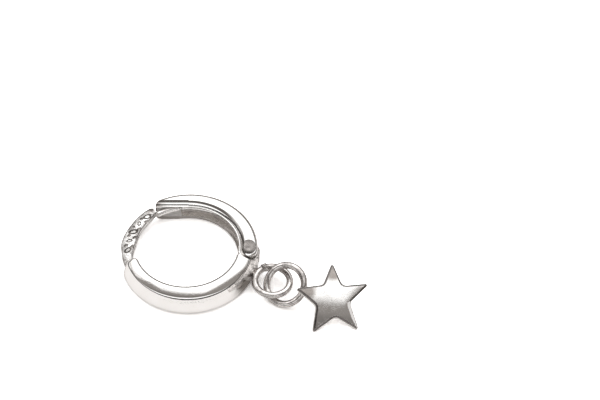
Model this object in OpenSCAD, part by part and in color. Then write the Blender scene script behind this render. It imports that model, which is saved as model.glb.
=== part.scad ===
// Hinged hoop earring with a star charm, lying on its side.
// Millimetres. +X runs from the hoop to the charm, +Z is up, the origin is under the middle of the whole.

/* [Hoop] */
// Diameter of the hole inside the hoop
bore_d = 9.8; // [9:0.1:12]
// Outer diameter of the hoop
hoop_d = 13.2; // [12.6:0.1:15.5]
// How far the outer round sits towards the charm, which makes the band thicker there
outer_shift = 0.2; // [0:0.05:0.3]
// Width of the band, which is its height as it lies
band_w = 2.35; // [2:0.05:3]
// Rounding of the band's outer edges
outer_edge = 0.6; // [0.3:0.05:0.7]
// Rounding of the inner edges of the front half
front_inner_edge = 0.15; // [0.05:0.05:0.3]
// Rounding of the inner edges of the back half
back_inner_edge = 0.4; // [0.2:0.05:0.45]
// Direction of the front half's free end, seen from the hoop's middle
front_end_deg = -139; // [-150:1:-125]
// Direction of the back half's free end, seen from the hoop's middle
back_end_deg = 147.5; // [138:0.5:150]

/* [Channel in the back half] */
// Height of the channel
channel_h = 1.33; // [1.1:0.01:1.4]
// Thickness of the wall outside the channel, where the hoop is thinnest
channel_wall = 0.4; // [0.3:0.05:0.6]
// Direction in which the straight run-in for the post starts
run_in_deg = 114; // [105:1:122]
// How far outside the bore the straight run-in lies
run_in_depth = 0.07; // [0.02:0.01:0.15]

/* [Hinge] */
// Direction of the hinge pin, seen from the hoop's middle
pin_deg = 19; // [14:1:24]
// Diameter of the hinge pin
pin_d = 0.6; // [0.5:0.05:0.8]
// How far the pin's ends lie inside the band's flat sides
pin_inset = 0.03; // [0.01:0.01:0.1]
// Running gap round the pin in the tongue
pin_gap = 0.04; // [0.02:0.01:0.08]
// Gap round the pin in the two ears that grip it
pin_seat_gap = 0.01; // [0.005:0.005:0.02]
// Gap above and below the tongue in the channel
tongue_gap = 0.05; // [0.03:0.01:0.1]
// Gap between the ears' round ends and the front half
ear_gap = 0.12; // [0.08:0.01:0.2]
// Gap between the tongue's round end and the channel's wall
knuckle_gap = 0.12; // [0.08:0.01:0.2]
// Height of the tongue's lug over the hoop's outer face
lug_rise = 0.2; // [0.1:0.05:0.3]
// Radius of the lug's rounded outline
lug_r = 2.4; // [2:0.1:3]
// Direction of the lug's crest, seen from the hoop's middle
lug_deg = 6; // [2:1:10]

/* [Ear post] */
// Widest part of the flattened post
post_w = 1.3; // [1:0.05:1.5]
// Thickness of the flattened post
post_t = 0.85; // [0.6:0.05:1]
// Gap between the flattened post and the back half's free end, in degrees
post_gap_deg = 1.5; // [1:0.5:3]
// Diameter of the post's wire end
wire_d = 0.62; // [0.5:0.02:0.8]
// Gap between the wire end and the channel's wall
wire_gap = 0.06; // [0.04:0.01:0.1]
// Direction of the wire's tip, seen from the hoop's middle
wire_tip_deg = 121; // [115:1:128]
// Length of the wire's tapered tip
tip_l = 0.7; // [0.4:0.1:1]
// Diameter at the end of the tapered tip
tip_d = 0.3; // [0.2:0.05:0.4]
// Number of sunk round marks on each face of the post
mark_n = 5; // [3:1:6]
// Diameter of each mark
mark_d = 0.5; // [0.3:0.05:0.6]
// Depth of each mark
mark_depth = 0.1; // [0.05:0.01:0.15]

/* [Hoop ring] */
// Outer diameter of the ring on the hoop
ring_d = 3.98; // [3.6:0.02:4.6]
// Diameter of the ring's wire
ring_wire_d = 0.64; // [0.5:0.02:0.7]
// How far the ring sinks into the solder on the lug
ring_sink = 0.14; // [0.1:0.02:0.2]
// Direction of the ring's soldered joint, seen from the ring's middle
ring_joint_deg = 138; // [120:1:150]
// Thickness of the solder over the joint
ring_joint_t = 0.05; // [0.02:0.01:0.08]
// How much of the ring the solder covers, in degrees
ring_joint_run = 16; // [8:1:24]

/* [Charm ring] */
// Outer diameter of the ring on the charm
link_d = 4.34; // [4.1:0.02:4.7]
// Diameter of its wire
link_wire_d = 0.66; // [0.5:0.02:0.7]
// Distance between the middles of the two rings, along the hoop's middle plane
link_reach = 1.34; // [1.2:0.02:1.5]
// How far the charm ring's middle lies in front of the hoop ring's
link_side = 0.06; // [0:0.02:0.2]
// Tilt of the charm ring from the ground
link_tilt = 35; // [30:1:38]
// Direction that the charm ring's upper face turns to
link_turn = -105; // [-110:1:-95]

/* [Star] */
// Reach of the star's arms from its middle
star_r = 3.48; // [3:0.02:4]
// Thickness at the star's edge
star_edge_t = 0.5; // [0.4:0.05:0.7]
// Rise of the domed face over the edge
star_dome = 0.42; // [0.2:0.02:0.6]
// Rounding of the tips
tip_round = 0.16; // [0.1:0.02:0.25]
// Rounding of the notches between the arms
notch_round = 0.55; // [0.2:0.05:0.7]
// How far the soldered arm reaches past the ring's wire
arm_over = 0.54; // [0.4:0.02:0.7]
// How far the ring's wire sinks into the solder behind the arm
star_sink = 0.14; // [0.1:0.02:0.2]
// Direction in which the star slopes down to the ground
star_slope_deg = -64; // [-70:1:-58]
// Direction of the soldered spot, seen from the charm ring's middle
star_spot_deg = -5; // [-12:1:4]

/* [Hidden] */
over = 1;             // how far a cutting shape reaches past what it cuts
fine = 96;            // sides of the large rounds
small = 32;           // sides of the small rounds
ring_sides = 64;      // sides round a wire ring
wire_sides = 24;      // sides of a wire's section
corner_steps = 5;     // points on each rounded corner of the star
post_step_deg = 3;    // spacing of the points on the post's outline
tip_root = 0.1;       // how far the wire's tapered tip reaches back into the wire
tip_step = 0.01;      // how much thinner than the wire the taper starts
tip_stretch = 1.7;    // how far a star tip's sharp corner lies over its round end, as a share of tip_round

bore_r = bore_d / 2;
hoop_r = hoop_d / 2;
mid_z = band_w / 2;
pin_r = pin_d / 2;
wire_r = wire_d / 2;
ring_wire_r = ring_wire_d / 2;
link_wire_r = link_wire_d / 2;
ring_mid_r = ring_d / 2 - ring_wire_r;
link_mid_r = link_d / 2 - link_wire_r;

// Distance from the hoop's middle to its outer face in a given direction
function outer_at(deg) = outer_shift * cos(deg) + sqrt(pow(hoop_r, 2) - pow(outer_shift * sin(deg), 2));
// Middle of the band's thickness and half that thickness in a given direction
function band_mid(deg) = (bore_r + outer_at(deg)) / 2;
function band_half(deg) = (outer_at(deg) - bore_r) / 2;
// A point on the ground plan, from a radius and a direction
function polar(r, deg) = [r * cos(deg), r * sin(deg)];

channel_r = outer_at(180) - channel_wall;
tongue_h = channel_h - 2 * tongue_gap;
pin_mid_r = band_mid(pin_deg);
ear_r = band_half(pin_deg);
knuckle_r = outer_at(pin_deg) + lug_rise - pin_mid_r;
front_face_deg = pin_deg - asin((ear_r + ear_gap) / pin_mid_r);
wall_end_deg = pin_deg + asin((knuckle_r + knuckle_gap) / channel_r);
lug_mid_r = outer_at(lug_deg) + lug_rise - lug_r;
end_turn_front = asin(band_half(front_end_deg) / band_mid(front_end_deg));
end_turn_back = asin(band_half(back_end_deg) / band_mid(back_end_deg));
front_round_deg = front_end_deg + end_turn_front;
back_round_deg = back_end_deg - end_turn_back;

// The post's outline: direction as a share of its run, and width as a share of post_w
post_root_deg = front_round_deg + 360;
post_end_deg = back_end_deg + post_gap_deg;
post_mid_r = band_mid(180);
POST_WIDTHS = [[0, 0.50], [0.10, 0.80], [0.32, 0.86], [0.58, 1.0], [0.78, 0.72], [1, 0.62]];
wire_mid_r = channel_r - wire_gap - wire_r;
taper_deg = wire_tip_deg + asin(tip_l / wire_mid_r);

// The rings: each one's middle and the charm ring's place on the ground
ring_x = outer_at(0) + lug_rise + ring_d / 2 - ring_sink;
link_x = ring_x + link_reach;
link_z = link_wire_r + link_mid_r * sin(link_tilt);

// A sloping plane's three directions: down the slope, level across it, and square to it
function slope_down(tilt, deg) = [cos(tilt) * cos(deg), cos(tilt) * sin(deg), -sin(tilt)];
function slope_across(deg) = [-sin(deg), cos(deg), 0];
function slope_up(tilt, deg) = [sin(tilt) * cos(deg), sin(tilt) * sin(deg), cos(tilt)];

// The soldered spot: the point of the charm ring's wire that the star's arm lies on
spot_turn = star_spot_deg - link_turn;
spot = [link_x, -link_side, link_z]
     + link_mid_r * (cos(spot_turn) * slope_down(link_tilt, link_turn) + sin(spot_turn) * slope_across(link_turn));

// The star's arms: direction of each tip, its reach, and the depth of the notch after it, as shares of star_r
ARM_DEG = 0;
ARM_REACH = 1;
ARM_NOTCH = 2;
STAR_ARMS = [[36, 1.0, 0.42], [112, 1.01, 0.42], [180, 0.94, 0.49], [252, 1.02, 0.53], [324, 1.02, 0.47]];
soldered_arm = STAR_ARMS[3];
foot_arm = STAR_ARMS[0];
arm_n = len(STAR_ARMS);

// The star slopes so that its lower tips touch the ground while its arm lies on the ring's wire
spot_reach = star_r * soldered_arm[ARM_REACH] - arm_over;
foot_down = star_r * foot_arm[ARM_REACH] * cos(foot_arm[ARM_DEG]);
spot_down = spot_reach * cos(soldered_arm[ARM_DEG]);
fall = foot_down - spot_down;
seat = link_wire_r - star_sink;
star_tilt = asin(spot[2] / sqrt(pow(fall, 2) + pow(seat, 2))) + atan(seat / fall);
star_down = slope_down(star_tilt, star_slope_deg);
star_across = slope_across(star_slope_deg);
star_up = slope_up(star_tilt, star_slope_deg);
star_mid = spot + seat * star_up
         - spot_reach * (cos(soldered_arm[ARM_DEG]) * star_down + sin(soldered_arm[ARM_DEG]) * star_across);

// The whole runs from the hoop's outer face to the star's far tip, and its middle is the origin
function star_point(deg, reach) = star_mid + star_r * reach * (cos(deg) * star_down + sin(deg) * star_across);
far_x = max([for (arm = STAR_ARMS) star_point(arm[ARM_DEG], arm[ARM_REACH])[0]]) + star_edge_t * star_up[0];
hoop_x = (outer_at(180) - far_x) / 2;

// Rounded corners for an outline: each corner is cut back along its sides and bridged by an arc
function unit(v) = v / norm(v);
function arc_steps(p, q, c, n) =
    let (a = atan2(p[1] - c[1], p[0] - c[0]), b = atan2(q[1] - c[1], q[0] - c[0]), turn = (b - a + 540) % 360 - 180)
    [for (i = [0:n]) c + norm(p - c) * [cos(a + turn * i / n), sin(a + turn * i / n)]];
function round_corner(before, at, after, r, n) =
    let (u = unit(before - at), v = unit(after - at), half = acos(u * v) / 2, back = r / tan(half))
    arc_steps(at + back * u, at + back * v, at + r / sin(half) * unit(u + v), n);
STAR_CORNERS = [for (i = [0:arm_n - 1])
    let (arm = STAR_ARMS[i], next = STAR_ARMS[(i + 1) % arm_n], ahead = (next[ARM_DEG] - arm[ARM_DEG] + 360) % 360)
    each [polar(star_r * arm[ARM_REACH] + tip_stretch * tip_round, arm[ARM_DEG]),
          polar(star_r * arm[ARM_NOTCH], arm[ARM_DEG] + ahead / 2)]];
corner_n = len(STAR_CORNERS);
STAR_OUTLINE = [for (i = [0:corner_n - 1])
    each round_corner(STAR_CORNERS[(i + corner_n - 1) % corner_n], STAR_CORNERS[i], STAR_CORNERS[(i + 1) % corner_n],
                      i % 2 == 0 ? tip_round : notch_round, corner_steps)];
dome_r = (pow(star_r, 2) + pow(star_dome, 2)) / (2 * star_dome);

// Places a shape drawn on the ground plan onto a sloping plane: x down the slope, y level across it
module on_slope(place, tilt, deg) {
    translate(place)
        rotate([0, 0, deg])
            rotate([0, tilt, 0])
                children();
}

// A pie slice of the ground plan between two directions less than 180 degrees apart
module slice(from_deg, to_deg, r) {
    steps = 6;
    polygon([[0, 0], for (i = [0:steps]) polar(r, from_deg + (to_deg - from_deg) * i / steps)]);
}

// The round disc that the band is cut from, with rounded outer edges
module hoop_disc() {
    translate([outer_shift, 0, 0])
        rotate_extrude($fn = fine) {
            square([hoop_r - outer_edge, band_w]);
            translate([0, outer_edge])
                square([hoop_r, band_w - 2 * outer_edge]);
            for (z = [outer_edge, band_w - outer_edge])
                translate([hoop_r - outer_edge, z])
                    intersection() {
                        circle(outer_edge, $fn = small);
                        translate([0, -outer_edge])
                            square([outer_edge, 2 * outer_edge]);
                    }
        }
}

// The hole through the hoop, flared at both mouths to round the band's inner edges
module hoop_bore(edge) {
    rotate_extrude($fn = fine) {
        translate([0, -over])
            square([bore_r, band_w + 2 * over]);
        difference() {
            for (z = [-over, band_w - edge])
                translate([0, z])
                    square([bore_r + edge, over + edge]);
            for (z = [edge, band_w - edge])
                translate([bore_r + edge, z])
                    circle(edge, $fn = small);
        }
    }
}

// One half of the band: a slice of the disc with a round end of its own thickness
module half_band(from_deg, to_deg, round_deg, edge) {
    difference() {
        intersection() {
            hoop_disc();
            linear_extrude(band_w) {
                slice(from_deg, to_deg, hoop_d);
                translate(polar(band_mid(round_deg), round_deg))
                    circle(band_half(round_deg), $fn = small);
            }
        }
        hoop_bore(edge);
    }
}

// The hinge tongue with its round knuckle and the lug that the hoop ring is soldered to
module hinge_tongue() {
    translate([0, 0, mid_z - tongue_h / 2])
        linear_extrude(tongue_h)
            difference() {
                union() {
                    translate(polar(pin_mid_r, pin_deg))
                        circle(knuckle_r, $fn = fine);
                    intersection() {
                        translate(polar(lug_mid_r, lug_deg))
                            circle(lug_r, $fn = fine);
                        slice(front_face_deg - 60, pin_deg, hoop_d);
                    }
                    intersection() {
                        translate([outer_shift, 0])
                            circle(hoop_r, $fn = fine);
                        slice(front_face_deg - 2, pin_deg, hoop_d);
                    }
                }
                circle(bore_r, $fn = fine);
            }
}

// The flattened part of the ear post, as an outline whose width follows the table
module flat_post() {
    run = post_root_deg - post_end_deg;
    steps = ceil(run / post_step_deg);
    side = [for (i = [0:steps]) [post_end_deg + run * i / steps, post_w * lookup(i / steps, POST_WIDTHS) / 2]];
    outside = [for (p = side) polar(post_mid_r + p[1], p[0])];
    inside = [for (i = [steps:-1:0]) polar(post_mid_r - side[i][1], side[i][0])];
    translate([0, 0, mid_z - post_t / 2])
        linear_extrude(post_t)
            polygon(concat(outside, inside));
}

// The round wire end of the post, curved with the hoop and tapered at its tip
module wire_end() {
    translate([0, 0, mid_z]) {
        rotate([0, 0, taper_deg])
            rotate_extrude(angle = post_end_deg + post_gap_deg - taper_deg, $fn = fine)
                translate([wire_mid_r, 0])
                    circle(wire_r, $fn = small);
        translate(polar(wire_mid_r, taper_deg))
            rotate([0, 0, taper_deg])
                rotate([90, 0, 0])
                    translate([0, 0, -tip_root])
                        cylinder(h = tip_l + tip_root, r1 = wire_r - tip_step, r2 = tip_d / 2, $fn = small);
    }
}

// Sunk round marks along both faces of the flattened post
module post_marks() {
    run = post_root_deg - post_end_deg;
    for (i = [1:mark_n])
        rotate([0, 0, post_end_deg + run * i / (mark_n + 2)])
            for (z = [mid_z + post_t / 2 - mark_depth, mid_z - post_t / 2 - over])
                translate([post_mid_r, 0, z])
                    cylinder(d = mark_d, h = mark_depth + over, $fn = small);
}

// A round wire ring, flat on the ground plan
module wire_ring(mid_r, wire) {
    rotate_extrude($fn = ring_sides)
        translate([mid_r, 0])
            circle(wire, $fn = wire_sides);
}

// The ring soldered to the lug, with a sleeve of solder over its joint
module hoop_ring() {
    translate([ring_x, 0, mid_z]) {
        wire_ring(ring_mid_r, ring_wire_r);
        rotate([0, 0, ring_joint_deg - ring_joint_run / 2])
            rotate_extrude(angle = ring_joint_run, $fn = ring_sides)
                translate([ring_mid_r, 0])
                    circle(ring_wire_r + ring_joint_t, $fn = wire_sides);
    }
}

// The hinge pin, or the hole for it with a gap all round
module pin_shape(gap, length_over) {
    translate(polar(pin_mid_r, pin_deg))
        translate([0, 0, pin_inset - length_over])
            cylinder(r = pin_r + gap, h = band_w - 2 * pin_inset + 2 * length_over, $fn = small);
}

module front_hoop() {
    color("silver")
        translate([hoop_x, 0, 0])
            difference() {
                union() {
                    half_band(front_round_deg, front_face_deg, front_round_deg, front_inner_edge);
                    hinge_tongue();
                    flat_post();
                    wire_end();
                    hoop_ring();
                }
                pin_shape(pin_gap, over);
                post_marks();
            }
}

module back_hoop() {
    color("lightgray")
        translate([hoop_x, 0, 0])
            difference() {
                union() {
                    half_band(pin_deg, back_round_deg, back_round_deg, back_inner_edge);
                    half_band(pin_deg, pin_deg + 1, pin_deg, back_inner_edge);
                }
                translate([0, 0, mid_z - channel_h / 2]) {
                    cylinder(r = channel_r, h = channel_h, $fn = fine);
                    linear_extrude(channel_h)
                        slice(front_face_deg - 20, wall_end_deg, hoop_d);
                }
                rotate([0, 0, run_in_deg])
                    translate([0, 0, -over])
                        cube([bore_r + run_in_depth, hoop_d, band_w + 2 * over]);
                pin_shape(pin_seat_gap, over);
            }
}

module hinge_pin() {
    color("gainsboro")
        translate([hoop_x, 0, 0])
            pin_shape(0, 0);
}

// The charm's ring, leaning on the ground, and the domed star soldered over its wire
module star_charm() {
    color("silver")
        translate([hoop_x, 0, 0]) {
            on_slope([link_x, -link_side, link_z], link_tilt, link_turn)
                wire_ring(link_mid_r, link_wire_r);
            on_slope(star_mid, star_tilt, star_slope_deg)
                intersection() {
                    linear_extrude(star_edge_t + star_dome)
                        polygon(STAR_OUTLINE);
                    translate([0, 0, star_edge_t + star_dome - dome_r])
                        sphere(dome_r, $fn = fine);
                }
        }
}

front_hoop();
back_hoop();
hinge_pin();
star_charm();
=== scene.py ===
# %% [markdown]
# # A hinged silver hoop with a star charm
# A small hoop of this kind is two bands joined by a hinge. The front half is solid and carries a thin post.
# The back half is hollowed to a channel, and the post's wire end snaps into it. A wire ring is soldered to
# the hinge, and a star on its own ring hangs from it. All of it is polished silver, so what the eye sees is
# mostly the room around it: the shapes have to be smooth, and the room has to be built with care.

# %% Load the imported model
import math

import bmesh
import bpy
import numpy as np
from mathutils import Matrix, Vector, noise


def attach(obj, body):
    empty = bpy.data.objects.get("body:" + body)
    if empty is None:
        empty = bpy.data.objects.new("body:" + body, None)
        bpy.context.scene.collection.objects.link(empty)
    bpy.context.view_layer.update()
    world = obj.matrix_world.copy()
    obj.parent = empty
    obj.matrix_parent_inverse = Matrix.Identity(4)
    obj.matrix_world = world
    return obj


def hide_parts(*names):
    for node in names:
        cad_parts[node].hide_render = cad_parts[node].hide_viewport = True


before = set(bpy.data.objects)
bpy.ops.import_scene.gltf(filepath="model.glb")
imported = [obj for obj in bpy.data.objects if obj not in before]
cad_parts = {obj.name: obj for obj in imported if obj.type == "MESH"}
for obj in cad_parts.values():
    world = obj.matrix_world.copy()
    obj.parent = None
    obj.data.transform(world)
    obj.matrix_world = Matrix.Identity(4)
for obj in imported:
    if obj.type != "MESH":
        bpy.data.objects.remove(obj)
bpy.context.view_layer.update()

# %% [markdown]
# The sizes below repeat the part's own. They are in millimetres, measured from the hoop's middle, because a
# hoop this small has edges of a few hundredths of a millimetre, and Blender's tools merge points that lie
# close together in metres. Each piece is scaled to metres and moved to its place when it is finished.

# %% Sizes of the hoop
MM = 0.001
HOOP_X = -5.807
BORE = 4.9
OUTER = 6.6
LEAN = 0.2
WIDTH = 2.35
MID = WIDTH / 2
CHANNEL_HALF = 0.665
CHANNEL_LOW = MID - CHANNEL_HALF
CHANNEL_HIGH = MID + CHANNEL_HALF
CHANNEL_R = 5.88
PIN_DEG = 19.0
PIN_R = 5.8444
EAR_R = 0.944
KNUCKLE_R = 1.144
FRONT_FACE_DEG = 8.5
FRONT_END_DEG = -139.0
BACK_END_DEG = 147.5
to_place = Matrix.Scale(MM, 4) @ Matrix.Translation((HOOP_X, 0, 0))


def polar(radius, degrees):
    """A point on the ground plan, from a radius and a direction."""
    return radius * math.cos(math.radians(degrees)), radius * math.sin(math.radians(degrees))


def direction_of(point):
    """The direction of a point from the hoop's middle, in degrees."""
    return math.degrees(math.atan2(point.y, point.x))


def outer_at(degrees):
    """Distance from the hoop's middle to its outer face in a given direction."""
    return OUTER + LEAN * math.cos(math.radians(degrees))


def angles(start, end, steps):
    """Evenly spaced angles in radians, from a start and an end in degrees."""
    return [math.radians(start + (end - start) * k / steps) for k in range(steps + 1)]


# %% Small helpers for meshes
def add_object(name, data):
    """Puts a mesh, a light or a camera into the scene."""
    thing = bpy.data.objects.new(name, data)
    bpy.context.scene.collection.objects.link(thing)
    return thing


def new_piece(name, points, faces, edges=()):
    """Makes a mesh object from points in millimetres."""
    mesh = bpy.data.meshes.new(name)
    mesh.from_pydata([tuple(map(float, p)) for p in points], list(edges), [tuple(map(int, f)) for f in faces])
    mesh.update()
    return add_object(name, mesh)


def tube_faces(around, rings):
    """The walls and the two end caps of a tube whose points are listed ring by ring."""
    walls = []
    for k in range(rings - 1):
        for i in range(around):
            j = (i + 1) % around
            walls.append((k * around + i, k * around + j, (k + 1) * around + j, (k + 1) * around + i))
    return walls + [tuple(range(around))[::-1], tuple(range((rings - 1) * around, rings * around))]


def bake(piece):
    """Turns a piece's modifiers into plain mesh."""
    graph = bpy.context.evaluated_depsgraph_get()
    plain = bpy.data.meshes.new_from_object(piece.evaluated_get(graph), depsgraph=graph)
    piece.modifiers.clear()
    piece.data = plain
    return piece


def clean(piece, gap=0.0005):
    """Merges doubled points and makes every face point outwards."""
    work = bmesh.new()
    work.from_mesh(piece.data)
    bmesh.ops.remove_doubles(work, verts=work.verts, dist=gap)
    bmesh.ops.dissolve_degenerate(work, edges=work.edges, dist=gap)
    bmesh.ops.recalc_face_normals(work, faces=work.faces)
    work.to_mesh(piece.data)
    work.free()
    return piece


def cut(piece, tool, finish=None):
    """Cuts a piece with a tool, which is used up. The cut walls take the tool's finish."""
    if finish:
        tool.data.materials.append(finish)
    step = piece.modifiers.new("Cut", "BOOLEAN")
    step.solver = "EXACT"
    step.operation = "DIFFERENCE"
    step.material_mode = "TRANSFER"
    step.object = tool
    bake(piece)
    bpy.data.objects.remove(tool)
    return clean(piece)


def shade(piece, angle=32):
    """Smooths the shading, keeps the sharp edges, and lets the large faces lead."""
    piece.data.shade_smooth()
    piece.data.set_sharp_from_angle(angle=math.radians(angle))
    step = piece.modifiers.new("Weighted Normal", "WEIGHTED_NORMAL")
    step.keep_sharp = True
    step.weight = 60
    return bake(piece)


def hand_over(piece, body, *nodes):
    """Scales a finished piece to metres, moves it to its place, and ties it to the frame."""
    piece.data.transform(to_place)
    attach(piece, body)
    if nodes:
        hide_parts(*nodes)
    triangles = sum(len(face.vertices) - 2 for face in piece.data.polygons)
    print(f"{piece.name}: {triangles} triangles on {body}")
    return piece


# %% [markdown]
# Node trees are easier to read when each node is one short line. This helper adds a node, sets its options,
# and joins whatever is passed as an input: a number, a colour, or the output of an earlier node.

# %% A helper for node trees
class Wires:
    """Adds nodes to one tree. An input is named with _ for each space, or i0, i1 and so on by its place."""

    def __init__(self, tree):
        self.tree = tree

    def link(self, value, socket):
        if isinstance(value, bpy.types.NodeSocket):
            self.tree.links.new(value, socket)
        else:
            socket.default_value = value

    def add(self, kind, options=None, **inputs):
        node = self.tree.nodes.new(kind)
        for key, value in (options or {}).items():
            setattr(node, key, value)
        for key, value in inputs.items():
            by_place = key[0] == "i" and key[1:].isdigit()
            self.link(value, node.inputs[int(key[1:]) if by_place else key.replace("_", " ")])
        return node

    def first(self, kind, options=None, **inputs):
        """Adds a node and gives its first output."""
        return self.add(kind, options, **inputs).outputs[0]

    def math(self, operation, a, b=0.0):
        return self.first("ShaderNodeMath", {"operation": operation}, i0=a, i1=b)

    def plus(self, a, b):
        return self.math("ADD", a, b)

    def minus(self, a, b):
        return self.math("SUBTRACT", a, b)

    def times(self, a, b):
        return self.math("MULTIPLY", a, b)

    def ramp(self, value, low, high, kind="SMOOTHSTEP"):
        """A step from 0 at low to 1 at high."""
        options = {"interpolation_type": kind}
        return self.first("ShaderNodeMapRange", options, Value=value, From_Min=low, From_Max=high)

    def mix(self, share, under, over, blend="MIX"):
        """Lays one tone over another by a share from 0 to 1."""
        node = self.add("ShaderNodeMix", {"data_type": "RGBA", "blend_type": blend})
        for socket, value in ((node.inputs[0], share), (node.inputs[6], under), (node.inputs[7], over)):
            self.link((*value, 1) if isinstance(value, tuple) else value, socket)
        return node.outputs[2]


NUM = "NodeSocketFloat"
SHAPE = "NodeSocketGeometry"
FINISH = "NodeSocketMaterial"
SOCKETS = {float: NUM, int: "NodeSocketInt", bool: "NodeSocketBool"}
SEEDED = {"noise_dimensions": "4D"}


def new_group(name, kind, inputs, outputs):
    """Makes a node group. Each input comes with its default, or with a kind of socket if it has none. Returns
    the group's wires, its given values and its results."""
    tree = bpy.data.node_groups.new(name, kind)
    for label, value in inputs.items():
        socket = tree.interface.new_socket(label, in_out="INPUT", socket_type=SOCKETS.get(type(value), value))
        if type(value) in SOCKETS:
            socket.default_value = value
    for label, socket in outputs.items():
        tree.interface.new_socket(label, in_out="OUTPUT", socket_type=socket)
    wires = Wires(tree)
    return wires, wires.add("NodeGroupInput").outputs, wires.add("NodeGroupOutput").inputs


def end_tree(wires, shape, finish, result):
    """Ends a geometry tree. Copies become real mesh, because the export drops copies, and take a finish."""
    real = wires.first("GeometryNodeRealizeInstances", Geometry=shape)
    coloured = wires.first("GeometryNodeSetMaterial", Geometry=real, Material=finish)
    wires.link(coloured, result[0])
    return wires.tree


def run_tree(piece, tree, **values):
    """Puts a geometry tree on a piece, sets its named inputs, and bakes the result."""
    step = piece.modifiers.new(tree.name, "NODES")
    step.node_group = tree
    names = {item.name: item.identifier for item in tree.interface.items_tree if item.in_out == "INPUT"}
    for label, value in values.items():
        step[names[label.replace("_", " ")]] = value
    return bake(piece)


# %% [markdown]
# ## Finishes
# Polished silver is a mirror with a history. Fine hairlines from wiping cross it, the buffing wheel leaves
# soft waves, and where a cloth can't reach, inside the channel and in the punched marks, a grey-brown film
# stays. One shader group makes hairlines and waves for every finish, each with its own strengths.

# %% Shader group: hairlines and waves
wires, given, result = new_group(
    "Hand wear", "ShaderNodeTree",
    {"Hairline Scale": 2500.0, "Wave Scale": 500.0, "Hairlines": 0.3, "Waves": 0.5, "Roughness": 0.06,
     "Spread": 0.04},
    {"Height": NUM, "Roughness": NUM, "Film": NUM})
place = wires.add("ShaderNodeTexCoord").outputs["Object"]
lines = 0.0
for wipe, seed in ((0.5, 0.0), (1.9, 3.7)):
    aligned = wires.first("ShaderNodeMapping", Vector=place, Rotation=(0.3 * seed, 0.2, wipe),
                          Scale=(1, 14, 3))
    streak = wires.first("ShaderNodeTexNoise", SEEDED, Vector=aligned, W=seed,
                         Scale=given["Hairline Scale"], Detail=2.0, Roughness=0.6)
    lines = wires.math("MAXIMUM", lines, wires.ramp(streak, 0.58, 0.72, "LINEAR"))
wave = wires.first("ShaderNodeTexNoise", Vector=place, Scale=given["Wave Scale"], Detail=1.5, Roughness=0.4)
film = wires.first("ShaderNodeTexNoise", SEEDED, Vector=place, W=8.0, Scale=900.0,
                   Detail=5.0, Roughness=0.65)
relief = wires.minus(wires.times(wave, given["Waves"]), wires.times(lines, given["Hairlines"]))
spread = wires.times(wires.plus(film, lines), given["Spread"])
wires.link(relief, result["Height"])
wires.link(wires.plus(given["Roughness"], spread), result["Roughness"])
wires.link(film, result["Film"])
hand_wear = wires.tree
print("Hand wear group:", len(hand_wear.nodes), "nodes")

# %% A recipe for silver finishes
FILM_AND_SHADE = (0.3, 0.27, 0.25)
FILM_PATCHES = (0.42, 0.68)
SPOT_FADE = (1.5, 0.75)
SPOT_RAGGED = 0.8
SPOT_SHARE = 0.9
WEAR = ("Hairlines", "Waves", "Roughness", "Spread")


def silver(name, clear, dull, bump, wear, rim=0.75, turning=(0.55, 0.92), spots=(), depth=0.00001, **scales):
    """A metal finish: two tones mixed by the film, a bump of hairlines and waves, and a darker rim of painted
    shade where the metal turns away from the eye. The four numbers of wear follow WEAR. Spots are places, in
    metres,
    with a reach, where the colour darkens: some are the brown film that soldering and casting leave there,
    some are painted shade."""
    material = bpy.data.materials.new(name)
    material.use_nodes = True
    material.node_tree.nodes.clear()
    w = Wires(material.node_tree)
    group = w.add("ShaderNodeGroup", {"node_tree": hand_wear}, **dict(zip(WEAR, wear)), **scales).outputs
    colour = w.mix(w.ramp(group["Film"], *FILM_PATCHES, "LINEAR"), clear, dull)
    # Painted shade: the colour darkens towards the dark tone where the surface turns away from the eye.
    away = w.add("ShaderNodeLayerWeight", Blend=0.5).outputs["Facing"]
    colour = w.mix(w.times(w.ramp(away, *turning), rim), colour, FILM_AND_SHADE, "MULTIPLY")
    for middle, reach in spots:
        here = w.add("ShaderNodeTexCoord").outputs["Object"]
        far = w.add("ShaderNodeVectorMath", {"operation": "DISTANCE"}, i0=here, i1=middle).outputs[1]
        ragged = w.plus(w.math("DIVIDE", far, reach), w.times(group["Film"], SPOT_RAGGED))
        colour = w.mix(w.times(w.ramp(ragged, *SPOT_FADE), SPOT_SHARE), colour, FILM_AND_SHADE, "MULTIPLY")
    relief = w.first("ShaderNodeBump", Strength=bump, Distance=depth, Height=group["Height"])
    shader = w.first("ShaderNodeBsdfPrincipled", Base_Color=colour, Metallic=1.0,
                     Roughness=group["Roughness"], Normal=relief)
    w.link(shader, w.add("ShaderNodeOutputMaterial").inputs[0])
    return material


# %% [markdown]
# The bright finishes come from the buffing wheel and differ in their spots, of film and of painted shade. The
# others belong to what the wheel doesn't reach: drawn wire, the channel, filed surfaces, solder, and edges
# worn pale. Two are painted shade: the dark step along the channel's mouth and the star's dark rims.

# %% Silver finishes
BRIGHT = (0.95, 0.94, 0.925)
BRIGHT_DULL = (0.92, 0.905, 0.885)
BUFFED = (0.25, 0.6, 0.045, 0.05)
hinge_spot = ((0.00127, -0.0009, 0.0005), 0.0021)
# Painted shade: these three spots darken the rounded end of the back band and the post beside it.
mouth_shade_spot = ((-0.01045, 0.00275, 0.0017), 0.0014)
back_tip_shade_spot = ((-0.01115, 0.0033, 0.0021), 0.0009)
post_shade_spot = ((-0.01137, 0.00316, 0.0016), 0.0009)
front_polish = silver("front_polished_silver", BRIGHT, BRIGHT_DULL, 0.5, BUFFED, spots=[hinge_spot])
back_polish = silver("back_polished_silver", BRIGHT, BRIGHT_DULL, 0.5, BUFFED, turning=(0.4, 0.74),
                     spots=[mouth_shade_spot, back_tip_shade_spot])
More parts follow.
